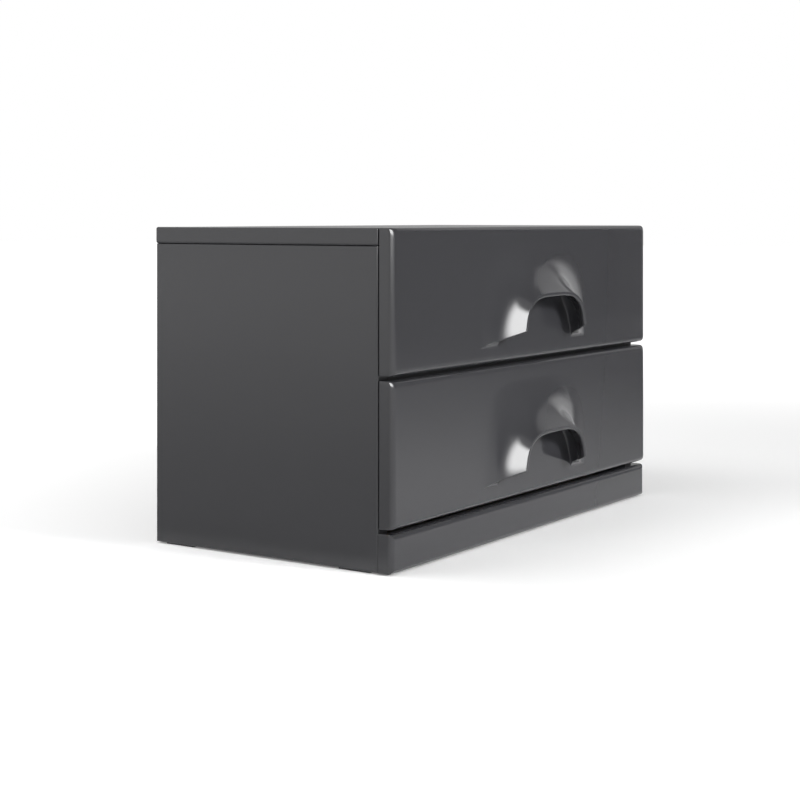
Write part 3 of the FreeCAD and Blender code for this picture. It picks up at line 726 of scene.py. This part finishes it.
def gloss_card(scene, name, material, points, glow, soft):
    """A lit card. Its light runs through the values of glow from its first to its last column,
    and its cover is the product of smooth steps 3 s^2 - 2 s^3 that rise from its first and last
    column and first and last row over the four shares of soft."""
    u, v = CARD_U, CARD_V
    light = np.interp(u, np.linspace(0.0, 1.0, len(glow)), glow)
    steps = [np.clip(way / width, 0.0, 1.0) for way, width in zip((u, 1 - u, v, 1 - v), soft)]
    cover = np.prod([s * s * (3 - 2 * s) for s in steps], axis=0)
    card = stage_object(scene, name, points, grid_quads(CARD_ROWS, CARD_COLUMNS).tolist())
    for key, values in (("glow", light), ("cover", cover)):
        attribute = card.data.attributes.new(key, "FLOAT", "POINT")
        attribute.data.foreach_set("value", values.reshape(-1).astype("f"))
    card.data.materials.append(material)
    card.visible_camera = card.visible_diffuse = card.visible_transmission = False
    card.visible_volume_scatter = card.visible_shadow = False


def studio_cards(scene):
    """The cards that stand and lie round the chest. They are seen in its gloss alone."""
    material = card_glow()

    def stand(name, turn, lift, distance, glow, soft):
        gloss_card(scene, name, material, bowl(turn, lift, distance), glow, soft)

    def lay(name, across, along, slant, glow, soft):
        gloss_card(scene, name, material, mat(across, along, slant), glow, soft)

    # The bright patch on each hood's left flank
    stand("key_window", (-85, -5), (2, 60), 2.5, glow=[18.0], soft=(0.1, 0.5, 0.2, 0.25))
    # The dim room in front, in the drawer fronts and over each hood's rim
    stand("front_surround", (-4, 67), (0, 88), 1.6, glow=[0.35, 0.33, 0.27, 0.26, 0.05],
          soft=(0.1, 0.001, 0.001, 0.02))
    # The room on the right, and two windows in it, in each hood's right shoulder
    stand("right_surround", (67, 140), (0, 88), 1.7, glow=[0.12, 0.2, 0.35, 0.42, 0.42, 0.42],
          soft=(0.001, 0.1, 0.001, 0.02))
    stand("low_window", (67.5, 99), (0, 24), 1.5, glow=[1.15, 1.0, 0.8], soft=(0.05, 0.3, 0.001, 0.4))
    stand("high_window", (62, 102), (20, 47), 1.5, glow=[0.6], soft=(0.15, 0.3, 0.35, 0.2))
    # The room on the left, in the upper part of the side panel
    stand("side_window", (-142, -100), (0, 35), 2.5, glow=[1.35], soft=(0.1, 0.1, 0.05, 0.1))
    # The floor as the drawer fronts and the side panel show it: sheets lying on the floor, seen in gloss
    # alone, a painted reflection of the floor
    # Painted shade: the dim sheet on the right stands for the chest's shadow on the floor
    lay("right_painted_shade_sheet", (-0.3, 1.8), (-0.13, -2.0), 0.4, glow=[0.2], soft=(0.66, 0.02, 0.001, 0.001))
    # Painted light: the bright sheet on the left stands for the lit floor beside the side panel
    lay("left_painted_light_sheet", (-0.21, -1.8), (1.8, -0.1), 0.0, glow=[0.6, 0.95, 1.15],
        soft=(0.001, 0.02, 0.001, 0.001))


def soft_lamp(scene, name, turn, lift, distance, size, power, spread):
    """A square lamp that faces the chest and gives it its shape and shadow. A hood on the lamp
    keeps its light within the spread. Turn, lift and spread are in degrees."""
    lamp = bpy.data.lights.new(name, "AREA")
    lamp.size, lamp.energy, lamp.spread = size, power, math.radians(spread)
    light = bpy.data.objects.new(name, lamp)
    light.location = round_about(math.radians(turn), math.radians(lift), distance)
    light.rotation_euler = (math.radians(90 - lift), 0.0, math.radians(turn))
    light.visible_glossy = False
    scene.collection.objects.link(light)


def photograph_camera(scene):
    """The camera that the edges of the chest in the photograph give: level, just above the top
    panel, with the frame moved down to the chest."""
    camera = bpy.data.cameras.new("photograph")
    camera.lens = 74.09
    camera.sensor_width = 36.0
    camera.shift_y = -0.2281
    view = bpy.data.objects.new("photograph", camera)
    view.location = (-1.1390, -0.7329, 0.2476)
    view.rotation_euler = (math.radians(90), 0.0, math.radians(-56.2097))
    scene.collection.objects.link(view)
    scene.camera = view


# Operators

class CHEST_OT_drawer_fronts(bpy.types.Operator):
    """Build both lacquered drawer fronts, each with the hood handle moulded into it"""
    bl_idname = "chest.drawer_fronts"
    bl_label = "Drawer Fronts"

    def execute(self, context):
        scene = context.scene
        material = lacquer(scene.chest_finishes)
        for level in LEVELS:
            node = level + "_drawer_front"
            low, high = (np.array(c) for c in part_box(node))
            mesh = mesh_of(node, *drawer_front_surface(scene.chest_hood, scene.chest_boards, low, high))
            piece = finished_piece(level + "_hooded_front", mesh, level + "_drawer", node,
                                   material)
            smooth = piece.modifiers.new("smooth", "SUBSURF")
            smooth.levels = smooth.render_levels = 2
        return {"FINISHED"}


class CHEST_OT_case_boards(bpy.types.Operator):
    """Build the lacquered boards of the case: top, sides and plinth, and dress the inner ones"""
    bl_idname = "chest.case_boards"
    bl_label = "Case Boards"

    def execute(self, context):
        boards, looks = context.scene.chest_boards, context.scene.chest_finishes
        material = lacquer(looks)
        r, fine = boards.case_radius, boards.arris
        for node, across, near, far in (("left_side_panel", X, r, fine), ("right_side_panel", X, fine, r),
                                        ("top_panel", Z, r, r),
                                        ("plinth_front", Y, boards.front_radius, fine)):
            mesh = mesh_of(node, *slab(*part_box(node), across, near, far, fine))
            finished_piece(node + "_lacquered", mesh, "case", node, material)
        dress(material, "bottom_panel", "drawer_divider")
        dress(painted_hardboard(looks), "back_panel")
        dress(raw_pine(looks, "rail", X), "rear_base_rail")
        dress(raw_pine(looks, "blocks", Z), "corner_blocks")
        dress(wool_felt(looks), "foot_pads")
        smooth_copy("front_bumpers", "case", cast_polyurethane(looks))
        return {"FINISHED"}


class CHEST_OT_drawer_boxes(bpy.types.Operator):
    """Dress the plywood boards of both drawer boxes, each with its own grain and layers"""
    bl_idname = "chest.drawer_boxes"
    bl_label = "Drawer Boxes"

    def execute(self, context):
        looks, layer = context.scene.chest_finishes, context.scene.chest_boards.veneer
        for level in LEVELS:
            for board, across, along in (("left_side", X, Y), ("right_side", X, Y), ("inner_front", Y, X),
                                         ("back", Y, X), ("bottom", Z, X)):
                node = f"{level}_drawer_{board}"
                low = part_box(node)[0]
                dress(birch_plywood(looks, layer, level + "_" + board, low, across, along), node)
        return {"FINISHED"}


class CHEST_OT_slides(bpy.types.Operator):
    """Dress the steel members of the slides and round off their balls"""
    bl_idname = "chest.slides"
    bl_label = "Slides"

    def execute(self, context):
        looks = context.scene.chest_finishes
        plated, polished = zinc_plated_steel(looks), bearing_steel(looks)
        for level in LEVELS:
            for side in ("left", "right"):
                for part in ("slide_channel", "slide_rail", "ball_cage"):
                    dress(plated, f"{level}_{side}_{part}")
                smooth_copy(f"{level}_{side}_slide_balls", level + "_ball_cages", polished)
        return {"FINISHED"}


class CHEST_OT_fasteners(bpy.types.Operator):
    """Round off the screws and dowels of case and drawers"""
    bl_idname = "chest.fasteners"
    bl_label = "Fasteners"

    def execute(self, context):
        looks = context.scene.chest_finishes
        steel, beech = screw_steel(looks), turned_beech(looks)
        for node in ("slide_channel_screws", "back_panel_screws"):
            smooth_copy(node, "case", steel)
        for node in ("case_dowels", "plinth_dowels"):
            smooth_copy(node, "case", beech)
        for level in LEVELS:
            smooth_copy(level + "_slide_rail_screws", level + "_drawer", steel)
            smooth_copy(level + "_drawer_front_screws", level + "_drawer", steel)
            smooth_copy(level + "_drawer_dowels", level + "_drawer", beech)
        return {"FINISHED"}


class CHEST_OT_stage(bpy.types.Operator):
    """Set up the pale paper floor, the soft light, and the camera at the photograph's angle"""
    bl_idname = "chest.stage"
    bl_label = "Stage"

    def execute(self, context):
        scene = context.scene
        look = scene.chest_stage
        scene.view_settings.view_transform = "Standard"
        white_studio(scene, look.level)
        paper_floor(scene, look)
        studio_cards(scene)
        soft_lamp(scene, "key_lamp", turn=4, lift=28, distance=2.2, size=0.45, power=2.0, spread=40)
        soft_lamp(scene, "back_lamp", turn=-135, lift=60, distance=1.6, size=1.0, power=11.0, spread=180)
        photograph_camera(scene)
        return {"FINISHED"}


class CHEST_PT_pieces(bpy.types.Panel):
    """Lists the pieces of the chest and their sizes"""
    bl_label = "Hooded Chest"
    bl_idname = "CHEST_PT_pieces"
    bl_space_type = "VIEW_3D"
    bl_region_type = "UI"
    bl_category = "Chest"

    def draw(self, context):
        for name in GROUPS:
            box = self.layout.box()
            box.label(text=name.replace("chest_", "").title())
            values = getattr(context.scene, name)
            for key in values.__annotations__:
                box.prop(values, key)
        for operator in OPERATORS:
            self.layout.operator(operator.bl_idname)


GROUPS = {"chest_hood": HoodSizes, "chest_boards": BoardSizes, "chest_finishes": FinishLooks,
          "chest_stage": StageLook}
OPERATORS = (CHEST_OT_drawer_fronts, CHEST_OT_case_boards, CHEST_OT_drawer_boxes, CHEST_OT_slides,
             CHEST_OT_fasteners, CHEST_OT_stage)
CLASSES = (*GROUPS.values(), *OPERATORS, CHEST_PT_pieces)


def register():
    for cls in CLASSES:
        bpy.utils.register_class(cls)
    for name, group in GROUPS.items():
        setattr(bpy.types.Scene, name, bpy.props.PointerProperty(type=group))


def unregister():
    for name in GROUPS:
        delattr(bpy.types.Scene, name)
    for cls in reversed(CLASSES):
        bpy.utils.unregister_class(cls)


def main():
    register()
    bpy.ops.chest.drawer_fronts()
    bpy.ops.chest.case_boards()
    bpy.ops.chest.drawer_boxes()
    bpy.ops.chest.slides()
    bpy.ops.chest.fasteners()
    bpy.ops.chest.stage()


if __name__ == "__main__":
    main()
